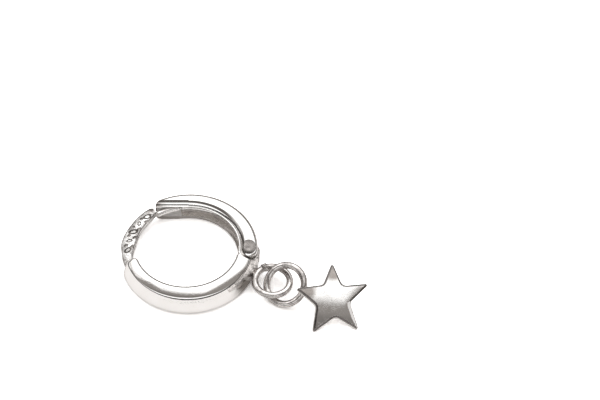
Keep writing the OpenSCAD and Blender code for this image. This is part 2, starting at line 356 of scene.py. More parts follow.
# Painted shade: the steep faces of the step along the channel's mouth are darker, to draw dark lines there.
step_shade = silver("step_shade_silver", (0.5, 0.485, 0.47), (0.42, 0.405, 0.39), 0.4, (0.3, 0.6, 0.08, 0.05),
                    rim=0.0, spots=[mouth_shade_spot])
drawn = silver("drawn_wire_silver", (0.8, 0.77, 0.75), (0.24, 0.22, 0.21), 0.7, (0.4, 0.9, 0.07, 0.08),
               rim=0.95, turning=(0.45, 0.78), Wave_Scale=1200.0)
wire_shine = silver("wire_silver", (1.0, 0.985, 0.97), (0.7, 0.675, 0.655), 0.4, (0.3, 0.4, 0.16, 0.08),
                    rim=0.7, turning=(0.6, 0.92))
channel = silver("channel_silver", (0.74, 0.72, 0.7), (0.6, 0.58, 0.56), 0.4, (0.5, 0.7, 0.15, 0.06))
inner_wall = silver("inner_wall_silver", (0.48, 0.455, 0.44), (0.36, 0.34, 0.325), 0.6, (0.5, 0.7, 0.2, 0.08),
                    rim=0.0)
# A dark film for the hinge's hollow, the dish round the pin and the pin; on the upper rim of the channel's
# mouth it is painted shade.
film_and_shade = silver("film_and_shade_silver", (0.28, 0.262, 0.25), (0.18, 0.166, 0.157), 0.9, (0.8, 1.6, 0.14, 0.2),
                rim=0.0)
# Painted shade: a dark finish for the star's rounded rims, which draws its dark outlines.
painted_dark_rim = silver("painted_dark_rim_silver", (0.22, 0.205, 0.195), (0.13, 0.12, 0.112), 0.8, (0.4, 1.2, 0.1, 0.12),
                  rim=0.5)
worn_rim = silver("worn_rim_silver", (1.0, 0.99, 0.98), (0.94, 0.93, 0.92), 0.5, (0.5, 1.0, 0.75, 0.06),
                  rim=0.0)
punched = silver("punched_silver", (0.5, 0.475, 0.455), (0.17, 0.157, 0.147), 1.0, (0.4, 2.0, 0.16, 0.2),
                 Wave_Scale=2600.0)
stamped = silver("stamped_silver", (0.86, 0.845, 0.83), (0.24, 0.222, 0.21), 0.9, (0.6, 2.5, 0.1, 0.12),
                 rim=0.95, depth=0.00003, spots=[post_shade_spot], Wave_Scale=1300.0)
soldered = silver("soldered_silver", (0.8, 0.77, 0.75), (0.2, 0.18, 0.165), 1.0, (0.4, 3.0, 0.12, 0.2),
                  rim=0.9, Wave_Scale=2600.0)
filed = silver("filed_silver", (0.88, 0.85, 0.83), (0.3, 0.28, 0.265), 0.9, (1.0, 1.2, 0.1, 0.12),
               rim=0.9, Hairline_Scale=3500.0)
knuckle = silver("knuckle_silver", (0.52, 0.49, 0.47), (0.09, 0.083, 0.078), 1.0, (1.0, 2.5, 0.12, 0.2),
                 rim=0.0, depth=0.00003, Wave_Scale=1500.0)

# %% [markdown]
# ## The band
# Both halves of the hoop follow one rule: a cross-section is carried round an arc, its outer wall leans
# towards the charm, and its ends are rounded in plan. A geometry tree can say exactly that. It sweeps the
# section along a straight line first, and then bends the line into the hoop, so the rule for each point stays
# easy to read. A rounded end stays a little blunt, because an end that closes to a slit has doubled faces.

# %% Geometry tree: bend a section into a hoop
DEEP = 1.7
BLUNT = 0.985
wires, given, result = new_group(
    "Hoop band", "GeometryNodeTree",
    {"Section": SHAPE, "Bore": BORE, "Outer": OUTER, "Lean": LEAN, "Nominal Half": DEEP / 2, "From": 0.0,
     "To": 90.0, "Round From": 0.1, "Round To": 0.1, "Droop From": 0.05, "Droop To": 0.05, "Middle": MID,
     "Steps": 240, "Finish": FINISH},
    {"Geometry": SHAPE})
line = wires.first("GeometryNodeCurvePrimitiveLine", Start=(0, 0, 0), End=(0, 0, 1))
rail = wires.first("GeometryNodeResampleCurve", Curve=line, Count=given["Steps"])
loop = wires.first("GeometryNodeMeshToCurve", Mesh=given["Section"])
straight = wires.first("GeometryNodeCurveToMesh", Curve=rail, Profile_Curve=loop, Fill_Caps=True)
point = wires.add("ShaderNodeSeparateXYZ", i0=wires.first("GeometryNodeInputPosition")).outputs
swing = wires.math("COSINE", wires.times(point[2], math.pi))
eased = wires.times(wires.minus(1.0, swing), 0.5)
sweep = wires.minus(given["To"], given["From"])
angle = wires.math("RADIANS", wires.plus(given["From"], wires.times(sweep, eased)))
cosine = wires.math("COSINE", angle)
sine = wires.math("SINE", angle)
outer_wall = wires.plus(given["Outer"], wires.times(given["Lean"], cosine))
middle = wires.times(wires.plus(outer_wall, given["Bore"]), 0.5)
half = wires.times(wires.minus(outer_wall, given["Bore"]), 0.5)
length = wires.times(wires.math("RADIANS", sweep), middle)
tall = wires.minus(point[1], given["Middle"])


def rounded(amount, radius, run):
    """Takes a quarter round off an amount, as far as the run from the end is shorter than the radius."""
    missing = wires.math("MAXIMUM", wires.minus(radius, run), 0.0)
    squares = wires.minus(wires.times(radius, radius), wires.times(missing, missing))
    bow = wires.math("SQRT", wires.math("MAXIMUM", squares, 0.0))
    return wires.plus(wires.minus(amount, radius), bow)


shrink = 1.0
for share, end in ((eased, "From"), (wires.minus(1.0, eased), "To")):
    run = wires.times(share, length)
    half = rounded(half, wires.math("MINIMUM", given["Round " + end], wires.times(half, BLUNT)), run)
    low = wires.math("DIVIDE", rounded(given["Middle"], given["Droop " + end], run), given["Middle"])
    shrink = wires.times(shrink, low)
high = wires.plus(given["Middle"], wires.times(tall, shrink))
across = wires.times(wires.math("DIVIDE", point[0], given["Nominal Half"]), half)
reach = wires.plus(middle, across)
bent = wires.first("ShaderNodeCombineXYZ", X=wires.times(reach, cosine), Y=wires.times(reach, sine),
                   Z=high)
moved = wires.first("GeometryNodeSetPosition", Geometry=straight, Position=bent)
hoop_band = end_tree(wires, moved, given["Finish"], result)
print("Hoop band tree:", len(hoop_band.nodes), "nodes")

# %% [markdown]
# A mirror shows how steeply a surface falls, and hardly how high it stands. So each upper face is a short
# table: at a distance from the bore, in millimetres, the metal falls by so many degrees.

# %% How the upper faces fall
front_slopes = [(0.42, 6), (0.52, 20), (0.6, 26), (0.76, 29), (0.94, 33), (1.09, 40), (1.13, 47), (1.18, 58),
                (1.24, 64), (1.3, 70)]
back_slopes = [(0.62, 0), (0.9, 1), (1.15, 4), (1.3, 12), (1.42, 24), (1.52, 36), (1.6, 50), (1.66, 66),
               (1.69, 82)]
step_slopes = [(0.0, 70), (0.03, 45), (0.06, 16), (0.14, 18), (0.19, 45), (0.22, 62), (0.3, 54), (0.37, 46),
               (0.45, 40), (0.55, 33), (0.61, 20), (0.68, 0)]
STEP_POINTS = 52


def step_edge():
    """The polished step along the channel's mouth, from its ledge up to the flat of the band."""
    points = [(step_slopes[-1][0], WIDTH)]
    for start in np.linspace(points[0][0], 0.0, STEP_POINTS)[1:]:
        x, y = points[0]
        fall = np.interp((x + start) / 2, *zip(*step_slopes))
        points.insert(0, (float(start), y - (x - start) * math.tan(math.radians(float(fall)))))
    return points


# %% The band's cross-section
UNDERSIDE = 0.03
WALL_BOW = 1.45
WALL_STEPS = 12
FINE = 6


def band_section(slopes, inner_reach, inner_fall, wall_foot, step=False):
    """The section: x across the band from the inside to the outside, y along its width. Its upper face is a
    table of slopes. Its inner edge is a quarter of an oval or the polished step. Its outer wall bows out."""
    upper = [(inner_reach + inner_reach * math.cos(a), WIDTH - inner_fall + inner_fall * math.sin(a))
             for a in angles(180, 90, 12)]
    if step:
        upper = step_edge()
        print("the step's ledge stands at", round(upper[4][1], 3), "mm")
    x, y = upper[-1]
    reach, fall = np.array(slopes).T
    fall = np.radians(fall)
    for end in np.concatenate([np.linspace(u, v, FINE + 1)[1:] for u, v in zip(reach[:-1], reach[1:])]):
        if end <= x + 1e-6:
            continue
        y -= (end - x) * math.tan(float(np.interp((end + x) / 2, reach, fall)))
        x = float(end)
        upper.append((x, y))
    for k in range(1, WALL_STEPS + 1):
        share = k / WALL_STEPS
        upper.append((x + (DEEP - x) * (1 - (1 - share) ** WALL_BOW), y + (wall_foot - y) * share))
    foot = wall_foot - UNDERSIDE
    bottom = wall_foot - foot
    lower = [(DEEP - foot * (1 - math.cos(a)), wall_foot - foot * math.sin(a)) for a in angles(0, 90, 6)[1:]]
    lower += [(px, bottom) for px in np.linspace(DEEP - foot, inner_reach, 10)[1:]]
    lower += [(inner_reach - inner_reach * math.cos(a), bottom + inner_fall * (1 - math.sin(a)))
              for a in angles(90, 0, 12)[1:]]
    low = bottom + inner_fall
    inner = [(0.0, low + (upper[0][1] - low) * k / 8) for k in range(1, 8)]
    return [(px - DEEP / 2, py) for px, py in upper + lower + inner]


def band(name, section, **rule):
    """Bends a section into a hoop with the geometry tree."""
    loop = [(i, (i + 1) % len(section)) for i in range(len(section))]
    piece = new_piece(name, [(x, y, 0) for x, y in section], [], loop)
    return clean(run_tree(piece, hoop_band, **rule))


# %% [markdown]
# The front half is one solid sweep. Its left end is rounded and carries the post. Its right end is hollowed
# round the hinge, so that the ears of the back half can turn just clear of it.
#
# The back half starts as the same sweep with both ends fully round. Then it is hollowed, as a maker would
# mill it: a channel open to the inside, no outer wall where the hinge's tongue turns, and a straight run-in
# where the post enters. Booleans say this directly, and each cut is cleaned before the next one.

# %% Cutting tools
PAST = 1.0
FAR = 13.0


def turned(name, profile, sides=256, x=0.0, y=0.0):
    """A round piece from a list of radii and heights, as a lathe would cut it."""
    points = [(x + r * math.cos(math.tau * i / sides), y + r * math.sin(math.tau * i / sides), z)
              for r, z in profile for i in range(sides)]
    return new_piece(name, points, tube_faces(sides, len(profile)))


def slab(name, plan, low, high):
    """A flat plan with a thickness."""
    return new_piece(name, [(x, y, z) for z in (low, high) for x, y in plan], tube_faces(len(plan), 2))


def wedge(name, start, end, low, high):
    """A tool like a slice of cake, which reaches past the hoop."""
    rim = [polar(FAR, start + (end - start) * i / 12) for i in range(13)]
    return slab(name, [(0.0, 0.0)] + rim, low, high)


def prism(name, outline, length, turn):
    """A straight tool with a drawn section, turned about the hoop's middle."""
    spin = Matrix.Rotation(math.radians(turn), 4, "Z")
    points = [spin @ Vector((x, y, z)) for y in (0, length) for x, z in outline]
    return clean(new_piece(name, points, tube_faces(len(outline), 2)))


# %% Front band
EAR_GAP = 0.17
HINGE_SIDE_DEG = 9.4
pin_x, pin_y = polar(PIN_R, PIN_DEG)
front_section = band_section(front_slopes, inner_reach=0.42, inner_fall=0.22, wall_foot=0.45)
front_band = band("front_band", front_section, From=FRONT_END_DEG, To=14.0, Round_From=0.55, Round_To=0.01,
                  Droop_From=0.45, Droop_To=0.01, Steps=260, Finish=front_polish)
hollow = [(EAR_R + EAR_GAP, -PAST), (EAR_R + EAR_GAP, WIDTH + PAST)]
cut(front_band, turned("hinge_hollow", hollow, 128, pin_x, pin_y), finish=film_and_shade)
cut(front_band, wedge("hinge_side", HINGE_SIDE_DEG, 40, -PAST, WIDTH + PAST))
shade(front_band)
hand_over(front_band, "front", "front_hoop")

# %% Back band with its channel
ROUND = 0.42
CHANNEL_IN = 3.0
OPEN_WALL_DEG = 31.1
HAIR = 0.004
ear_turn = math.degrees(math.asin(EAR_R / PIN_R))
back_section = band_section(back_slopes, inner_reach=0.3, inner_fall=0.3, wall_foot=0.22, step=True)
back_band = band("back_band", back_section, From=PIN_DEG - ear_turn, To=BACK_END_DEG, Round_From=2.0,
                 Round_To=2.0, Droop_From=0.12, Droop_To=0.5, Steps=260, Finish=back_polish)
corner = [(CHANNEL_R - ROUND * (1 - math.sin(a)), CHANNEL_LOW + ROUND * (1 - math.cos(a)))
          for a in angles(0, 90, 6)]
profile = [(CHANNEL_IN, CHANNEL_LOW)] + corner
profile += [(r, WIDTH - z) for r, z in corner[::-1]] + [(CHANNEL_IN, CHANNEL_HIGH)]
cut(back_band, turned("channel_tool", profile))
cut(back_band, wedge("wall_tool", -12, OPEN_WALL_DEG, CHANNEL_LOW - HAIR, CHANNEL_HIGH + HAIR))

# %% Run-in for the post, and a dish round the pin
RUN_IN = 4.97
RUN_IN_DEG = 114
DISH_R = 2.2
DISH_DEEP = 0.2
run_in = [(-PAST, -PAST), (RUN_IN, -PAST)] + [(RUN_IN + x, z) for x, z in step_edge()]
run_in += [(run_in[-1][0], WIDTH + PAST), (-PAST, WIDTH + PAST)]
cut(back_band, prism("run_in_tool", run_in, FAR, RUN_IN_DEG))
dish_middle = (pin_x + 0.08, pin_y + 0.16, WIDTH - DISH_DEEP + DISH_R)
bpy.ops.mesh.primitive_uv_sphere_add(segments=96, ring_count=64, radius=DISH_R, location=dish_middle)
dish = bpy.context.object
dish.data.transform(dish.matrix_world)
dish.matrix_world = Matrix.Identity(4)
cut(back_band, dish, finish=film_and_shade)
print("back band after the cuts:", len(back_band.data.polygons), "faces")

# %% [markdown]
# Each face that looks to the inside of the hoop gets its finish from where it lies and which way it looks.
# The channel, which the buffing wheel never reaches, is dull, and the wall below it is darker. Along the
# upper rim of the channel's mouth a dark line is painted shade, and so is the darker tone of the step's steep
# faces. Near the end of the band, where the post's wire rubs each time the hoop is closed, the metal is worn
# pale.

# %% Inner walls of the back band
RUBBED_CHANNEL_DEG = 122
RUBBED_LIP_DEG = 140


def back_finish(face):
    """The finish for a face of the back band, or None where it keeps its polish."""
    z = face.center.z
    radius = face.center.xy.length
    inwards = -face.normal.dot(Vector((face.center.x, face.center.y, 0)).normalized())
    # Painted shade: a dark line along the upper rim of the channel's mouth.
    if radius < BORE + 0.1 and CHANNEL_HIGH - 0.02 < z < CHANNEL_HIGH + 0.1:
        return film_and_shade
    if radius < CHANNEL_R + 0.02 and CHANNEL_LOW - 0.01 < z < CHANNEL_HIGH + 0.01:
        return worn_rim if direction_of(face.center) > RUBBED_CHANNEL_DEG else channel
    if direction_of(face.center) > RUBBED_LIP_DEG and z < CHANNEL_LOW + 0.02:
        return worn_rim
    if inwards > 0.8 and z < MID:
        return inner_wall
    # Painted shade on the steep faces of the step.
    if 0.5 < inwards < 0.72 and z > WIDTH - 0.24:
        return step_shade
    return None


slots = {finish.name: k for k, finish in enumerate(back_band.data.materials)}
for finish in (channel, inner_wall, film_and_shade, step_shade, worn_rim):
    if finish.name not in slots:
        slots[finish.name] = len(back_band.data.materials)
        back_band.data.materials.append(finish)
for face in back_band.data.polygons:
    finish = back_finish(face)
    if finish:
        face.material_index = slots[finish.name]
shade(back_band)
hand_over(back_band, "back", "back_hoop")

# %% Hinge pin
PIN_SUNK = 0.05
pin_head = [(0.02, 0.0), (0.22, 0.012), (0.275, 0.03), (0.3, 0.06)]
pin_top = WIDTH - DISH_DEEP + PIN_SUNK
profile = [(r, PIN_SUNK + z) for r, z in pin_head] + [(r, pin_top - z) for r, z in pin_head[::-1]]
pin = clean(turned("rivet_pin", profile, 64, pin_x, pin_y))
pin.data.materials.append(film_and_shade)
shade(pin)
hand_over(pin, "back", "hinge_pin")

# %% [markdown]
# ## The hinge tongue and its lug
# The tongue goes between the ears and turns on the pin. On the outside it swells to a low round lug, to
# which the hoop's ring is soldered. In plan it is a few circles and the bore, so its outline is worked out
# direction by direction and then given its thickness. Inside the front band it stays clear of the walls.

# %% Hinge tongue
LUG_DEG = 6.0
LUG_R = 2.4
LUG_PROUD = 0.2
LUG_MID = outer_at(LUG_DEG) + LUG_PROUD - LUG_R
TONGUE_FROM_DEG = -28
TONGUE_HALF = 0.615
TONGUE_STEPS = 180
INSIDE = 0.3


def circle_reach(mid, mid_deg, radius, degrees):
    """Nearest and farthest points of a circle in a direction from the hoop's middle, or None if missed."""
    off = mid * math.sin(math.radians(degrees - mid_deg))
    if abs(off) > radius:
        return None
    along = mid * math.cos(math.radians(degrees - mid_deg))
    side = math.sqrt(radius ** 2 - off ** 2)
    return along - side, along + side


knuckle_end = PIN_DEG + math.degrees(math.asin(KNUCKLE_R / PIN_R)) - 0.02
outer_edge, inner_edge = [], []
for i in range(TONGUE_STEPS + 1):
    d = TONGUE_FROM_DEG + (knuckle_end - TONGUE_FROM_DEG) * math.sin(math.pi / 2 * i / TONGUE_STEPS)
    reaches = [circle_reach(PIN_R, PIN_DEG, KNUCKLE_R, d)]
    if d <= PIN_DEG:
        reaches.append(circle_reach(LUG_MID, LUG_DEG, LUG_R, d))
        reaches.append((BORE, outer_at(d) - (0.0 if d > FRONT_FACE_DEG - 2 else INSIDE)))
    far = max(r[1] for r in reaches if r)
    near = BORE if d <= PIN_DEG else max(BORE, reaches[0][0])
    if far > near + 0.01:
        outer_edge.append(polar(far, d))
        inner_edge.append(polar(near if d > FRONT_FACE_DEG - 3 else BORE + INSIDE, d))
tongue = slab("hinge_tongue", outer_edge + inner_edge[::-1], MID - TONGUE_HALF, MID + TONGUE_HALF)
clean(tongue, 0.004)
tongue.data.materials.append(filed)
tongue.data.materials.append(knuckle)
for face in tongue.data.polygons:
    face.material_index = int((face.center.xy - Vector((pin_x, pin_y))).length < KNUCKLE_R + 0.3)
shade(tongue)
hand_over(tongue, "front")

# %% [markdown]
# ## The ear post
# The post leaves the band flat and wide, with punched marks on both of its flats, and ends as a thin round
# wire. Its section is a squared oval that changes along the way, so it is made ring by ring from a table.

# %% Sizes of the ear post
POST_MID = 5.71
POST_TALL = 0.425
WIRE_MID = 5.53
WIRE_HALF = 0.31
WIRE_FROM_DEG = 149
TIP_DEG = 120.8
ROOT_DEG = 231.5
# Each row: direction, half width, half height, squareness, distance of its middle from the hoop's middle.
post_table = [(ROOT_DEG, 0.40, POST_TALL, 4.5, 5.6), (223.0, 0.45, POST_TALL, 4.5, 5.65),
              (211.5, 0.52, POST_TALL, 4.0, POST_MID), (195.5, 0.71, POST_TALL, 3.6, POST_MID),
              (175.0, 0.64, POST_TALL, 3.6, 5.73), (163.0, 0.62, 0.42, 3.6, 5.79),
              (156.5, 0.58, 0.42, 3.6, 5.87), (151.0, 0.5, 0.41, 3.2, 5.95), (148.3, 0.42, 0.38, 2.8, 5.93),
              (147.3, WIRE_HALF, WIRE_HALF, 2.0, WIRE_MID), (128.5, WIRE_HALF, WIRE_HALF, 2.0, WIRE_MID),
              (124.5, 0.25, 0.25, 2.0, WIRE_MID), (121.6, 0.16, 0.16, 2.0, WIRE_MID),
              (121.0, 0.1, 0.1, 2.0, WIRE_MID), (TIP_DEG, 0.02, 0.02, 2.0, WIRE_MID)]
TAPER_DEG = 124


def blended(at, xs, ys):
    """Reads the table with an even blend between its rows, and a straight one at the tip."""
    k = int(np.clip(np.searchsorted(xs, at) - 1, 0, len(xs) - 2))
    t = (at - xs[k]) / (xs[k + 1] - xs[k])
    t = t * t * (3 - 2 * t) if at > TAPER_DEG else t
    return ys[k] + (ys[k + 1] - ys[k]) * t


# %% Ear post
AROUND = 40
stations = np.concatenate([np.linspace(TIP_DEG, 122.0, 10), np.linspace(122.3, 156.0, 70),
                           np.linspace(156.5, ROOT_DEG, 150)])
rows = np.array(post_table[::-1])
points = []
for d in stations:
    wide, tall, square, mid = (blended(d, rows[:, 0], rows[:, k]) for k in range(1, 5))
    for i in range(AROUND):
        a = math.tau * i / AROUND
        x = wide * math.copysign(abs(math.cos(a)) ** (2 / square), math.cos(a))
        z = tall * math.copysign(abs(math.sin(a)) ** (2 / square), math.sin(a))
        points.append((*polar(mid + x, d), MID + z))
post = clean(new_piece("ear_post", points, tube_faces(AROUND, len(stations))))
post.data.materials.append(stamped)
post.data.materials.append(wire_shine)
for face in post.data.polygons:
    face.material_index = int(direction_of(face.center) % 360 < WIRE_FROM_DEG)

# %% [markdown]
# Punch marks stand in rows along the flats of the post. A geometry tree places the punches: it spaces points
# along an arc, puts a ball or a ring on each, and turns it with the arc. A fixed seed changes size and twist
# a little, because no two blows of a hammer are alike.

# %% Geometry tree: a row of punches
SMALLEST = 0.6
LARGEST = 1.2
TWIST = 1.3


def round_loop(wires, steps, radius, sides, thick):
    """A round wire carried round a circle."""
    path = wires.first("GeometryNodeCurvePrimitiveCircle", Resolution=steps, Radius=radius)
    wire = wires.first("GeometryNodeCurvePrimitiveCircle", Resolution=sides, Radius=thick)
    return wires.first("GeometryNodeCurveToMesh", Curve=path, Profile_Curve=wire)


wires, given, result = new_group(
    "Row of punches", "GeometryNodeTree",
    {"Geometry": SHAPE, "Radius": POST_MID, "From": 160.0, "To": 215.0, "Count": 6, "Long": 0.3, "Wide": 0.2,
     "Deep": 0.12, "Height": 0.0, "Seed": 4, "Ring": False, "Finish": FINISH},
    {"Geometry": SHAPE})
span = wires.math("RADIANS", wires.minus(given["To"], given["From"]))
arc = wires.first("GeometryNodeCurveArc", Resolution=64, Radius=given["Radius"], Sweep_Angle=span,
                  Start_Angle=wires.math("RADIANS", given["From"]))
spaced = wires.add("GeometryNodeCurveToPoints", {"mode": "COUNT"}, Curve=arc, Count=given["Count"]).outputs
lift = wires.first("ShaderNodeCombineXYZ", Z=given["Height"])
lifted = wires.first("GeometryNodeSetPosition", Geometry=spaced[0], Offset=lift)
ball = wires.first("GeometryNodeMeshUVSphere", Segments=24, Rings=12, Radius=1.0)
flat_ring = round_loop(wires, 32, 0.8, 12, 0.26)
upright_ring = wires.first("GeometryNodeTransform", Geometry=flat_ring, Rotation=(math.pi / 2, 0, 0))
choice = {"False": ball, "True": upright_ring}
mark = wires.first("GeometryNodeSwitch", {"input_type": "GEOMETRY"}, Switch=given["Ring"], **choice)
oval = wires.first("ShaderNodeCombineXYZ", X=given["Wide"], Y=given["Deep"], Z=given["Long"])
index = wires.first("GeometryNodeInputIndex")
chance = wires.add("FunctionNodeRandomValue", {"data_type": "FLOAT"}, ID=index, Seed=given["Seed"],
                   i2=SMALLEST, i3=LARGEST).outputs[1]
grown = wires.first("ShaderNodeVectorMath", {"operation": "SCALE"}, i0=oval, Scale=chance)
punches = wires.first("GeometryNodeInstanceOnPoints", Points=lifted, Instance=mark,
                      Rotation=spaced["Rotation"], Scale=grown)
twist = wires.add("FunctionNodeRandomValue", {"data_type": "FLOAT"}, ID=index,
                  Seed=wires.plus(given["Seed"], 7.0), i2=-TWIST, i3=TWIST).outputs[1]
turn_by = wires.first("ShaderNodeCombineXYZ", Y=twist)
punches = wires.first("GeometryNodeRotateInstances", Instances=punches, Rotation=turn_by)
row_of_punches = end_tree(wires, punches, given["Finish"], result)
print("Row of punches tree:", len(row_of_punches.nodes), "nodes")

# %% Press the marks into the post
MARKS_FROM = 159.5
MARKS_TO = 206.0
# Each row: how far out it lies, how much shorter it is at both ends, marks, their sizes, seed, ring or dot.
mark_rows = [(-0.06, 0.0, 5, (0.42, 0.25, 0.8), 4, True), (0.16, 5.6, 4, (0.2, 0.15, 0.17), 11, False),
             (-0.41, 4.6, 4, (0.24, 0.13, 0.18), 3, False)]
for side in (1, -1):
    for out, shorter, count, (long, wide, deep), seed, ring in mark_rows:
        punches = new_piece("punches", [(0, 0, 0)], [])
        run_tree(punches, row_of_punches, Radius=POST_MID + out, From=MARKS_FROM + shorter,
                 To=MARKS_TO - shorter, Count=count, Long=long, Wide=wide, Deep=deep,
                 Height=MID + side * POST_TALL, Seed=seed, Ring=ring, Finish=punched)
        cut(post, punches)
shade(post, 45)
hand_over(post, "front")

# %% [markdown]
# ## The rings
# A wire ring is the plainest rule there is: a round wire carried round a circle. One tree makes both, with a
# little unevenness, because wire that is bent and soldered by hand is never quite round.

# %% Geometry tree: a wire ring
RING_R = 1.67
RING_WIRE = 0.32
wires, given, result = new_group(
    "Wire ring", "GeometryNodeTree",
    {"Geometry": SHAPE, "Ring Radius": RING_R, "Wire Radius": RING_WIRE, "Steps": 160, "Sides": 40,
     "Uneven": 0.012, "Seed": 1.0, "Finish": FINISH},
    {"Geometry": SHAPE})
swept = round_loop(wires, given["Steps"], given["Ring Radius"], given["Sides"], given["Wire Radius"])
here = wires.first("GeometryNodeInputPosition")
cloud = wires.add("ShaderNodeTexNoise", SEEDED, Vector=here, W=given["Seed"], Scale=0.9,
                  Detail=1.0).outputs[1]
centred = wires.first("ShaderNodeVectorMath", {"operation": "SUBTRACT"}, i0=cloud, i1=(0.5, 0.5, 0.5))
push = wires.first("ShaderNodeVectorMath", {"operation": "SCALE"}, i0=centred, Scale=given["Uneven"])
moved = wires.first("GeometryNodeSetPosition", Geometry=swept, Offset=push)
wire_ring = end_tree(wires, moved, given["Finish"], result)
print("Wire ring tree:", len(wire_ring.nodes), "nodes")


def on_slope(place, tilt, turn):
    """Where a piece drawn flat goes when it leans: x down the slope, y level across it."""
    lean = Matrix.Rotation(math.radians(tilt), 4, "Y")
    return Matrix.Translation(place) @ Matrix.Rotation(math.radians(turn), 4, "Z") @ lean


def make_ring(name, radius, thick, uneven, seed, place):
    """A wire ring in its place."""
    ring = new_piece(name, [(0, 0, 0)], [])
    run_tree(ring, wire_ring, Ring_Radius=radius, Wire_Radius=thick, Uneven=uneven, Seed=seed, Finish=drawn)
    ring.data.transform(place)
    shade(clean(ring), 60)
    return hand_over(ring, "front")


# %% Hoop ring and charm ring
RING_X = 8.85
LINK = (10.19, -0.06, 1.396)
LINK_R = 1.84
LINK_WIRE = 0.33
LINK_TILT = 35
LINK_TURN = -105
make_ring("hoop_ring", RING_R, RING_WIRE, uneven=0.05, seed=2.0, place=Matrix.Translation((RING_X, 0, MID)))
make_ring("charm_ring", LINK_R, LINK_WIRE, uneven=0.04, seed=5.0, place=on_slope(LINK, LINK_TILT, LINK_TURN))

# %% [markdown]
# Solder flows into the corners between two pieces of metal and freezes there, a little lumpy. Each bead is a
# ball pressed to an oval, with its skin pushed in and out by a smooth noise.


# %% Solder
def bead(name, place, radii, turn, lumps, seed):
    """A lumpy oval bead of solder."""
    ball = bmesh.new()
    bmesh.ops.create_icosphere(ball, subdivisions=5, radius=1.0)
    for v in ball.verts:
        n = v.co.normalized()
        broad = noise.noise(n * 1.7 + Vector((seed, 0, 0)))
        small = noise.noise(n * 4 + Vector((0, seed, 0)))
        v.co = n * (1 + lumps * broad + 0.4 * lumps * small)
    mesh = bpy.data.meshes.new(name)
    ball.to_mesh(mesh)
    ball.free()
    stretch = Matrix.Diagonal((*radii, 1))
    mesh.transform(Matrix.Translation(place) @ Matrix.Rotation(math.radians(turn), 4, "Z") @ stretch)
    mesh.materials.append(soldered)
    mesh.shade_smooth()
    return hand_over(add_object(name, mesh), "front")


KNOT_DEG = 138
knot_x, knot_y = polar(RING_R, KNOT_DEG)
bead("solder_lug", (7.08, 0.05, MID), (0.22, 0.5, 0.36), turn=0, lumps=0.3, seed=1.0)
bead("solder_knot", (RING_X + knot_x, knot_y, MID + 0.08), (0.36, 0.4, 0.38), turn=KNOT_DEG, lumps=0.5,
     seed=5.0)

# %% [markdown]
# ## The star
# The star is cast: flat behind, gently domed in front, with soft rims and rounded tips. Its arms aren't quite
# alike. Spokes run from the middle to the outline, and the height of each point comes from the dome and from
# how near the rim it is.

# %% Star outline
STAR_R = 3.48
STAR_EDGE = 0.5
STAR_DOME = 0.42
TIP_ROUND = 0.16
NOTCH_ROUND = 0.55
TIP_PAST = 1.7
ARC_STEPS = 10
SIDE_STEPS = 14
# Each arm: its direction, its length and the depth of the notch after it, both as shares of the radius.
star_arms = [(36, 1.0, 0.42), (112, 1.01, 0.42), (180, 0.94, 0.49), (252, 1.02, 0.53), (324, 1.02, 0.47)]
corners = []
for i, (deg, reach, notch) in enumerate(star_arms):
    ahead = (star_arms[(i + 1) % 5][0] - deg) % 360
    corners.append((np.array(polar(STAR_R * reach + TIP_PAST * TIP_ROUND, deg)), TIP_ROUND))
    corners.append((np.array(polar(STAR_R * notch, deg + ahead / 2)), NOTCH_ROUND))


def rounded_corner(before, at, after, radius):
    """The points of an arc that rounds a corner off."""
    u = (before - at) / np.linalg.norm(before - at)
    v = (after - at) / np.linalg.norm(after - at)
    half_angle = math.acos(float(u @ v)) / 2
    centre = at + radius / math.sin(half_angle) * (u + v) / np.linalg.norm(u + v)
    p = at + radius / math.tan(half_angle) * u - centre
    q = at + radius / math.tan(half_angle) * v - centre
    a = math.atan2(p[1], p[0])
    turn = (math.atan2(q[1], q[0]) - a + 3 * math.pi) % math.tau - math.pi
    steps = [a + turn * k / ARC_STEPS for k in range(ARC_STEPS + 1)]
    return [centre + radius * np.array([math.cos(step), math.sin(step)]) for step in steps]


def side_points(start, end):
    """Evenly spaced points along a straight side, without its two ends."""
    return [start + (end - start) * k / SIDE_STEPS for k in range(1, SIDE_STEPS)]


outline = []
for i, (at, radius) in enumerate(corners):
    arc = rounded_corner(corners[i - 1][0], at, corners[(i + 1) % len(corners)][0], radius)
    if outline:
        outline += side_points(outline[-1], arc[0])
    outline += arc
outline += side_points(outline[-1], outline[0])
outline = np.array(outline)
spokes = len(outline)
print("star outline:", spokes, "points")

# %% [markdown]
# The star rests on the tips of two arms and on the charm's ring, which is soldered behind another arm. Its
# place is worked out first, because the darker spots on it are given as places in the room.

# %% Where the star lies
STAR_TILT = 27.63
STAR_TURN = -64.0
ARM_DEG = 252
ARM_REACH = 1.02
FROM_TIP = 0.54
BEHIND = 0.19
LINK_DEG = 100
link_lies = on_slope((0, 0, 0), LINK_TILT, LINK_TURN)
solder_at = Vector(LINK) + link_lies @ Vector((*polar(LINK_R, LINK_DEG), 0))
lie = on_slope((0, 0, 0), STAR_TILT, STAR_TURN)
star_place = solder_at - lie @ Vector((*polar(STAR_R * ARM_REACH - FROM_TIP, ARM_DEG), -BEHIND))
star_dark_spots = []
# One spot is solder film behind the soldered arm; the others darken the two resting tips and the arm that
# points up the slope.
for deg, out, reach in ((180, 2.3, 0.0008), (ARM_DEG, 2.7, 0.001), (180, 3.1, 0.0004), (36, 3.45, 0.0006),
                        (324, 3.45, 0.0006)):
    star_dark_spots.append((to_place @ (star_place + lie @ Vector((*polar(out, deg), 0.7))), reach))
star_polish = silver("star_silver", BRIGHT, (0.9, 0.885, 0.865), 0.6, (0.3, 0.8, 0.05, 0.06),
                     spots=star_dark_spots)
print("star's middle, mm from the hoop's middle:", [round(c, 3) for c in star_place])


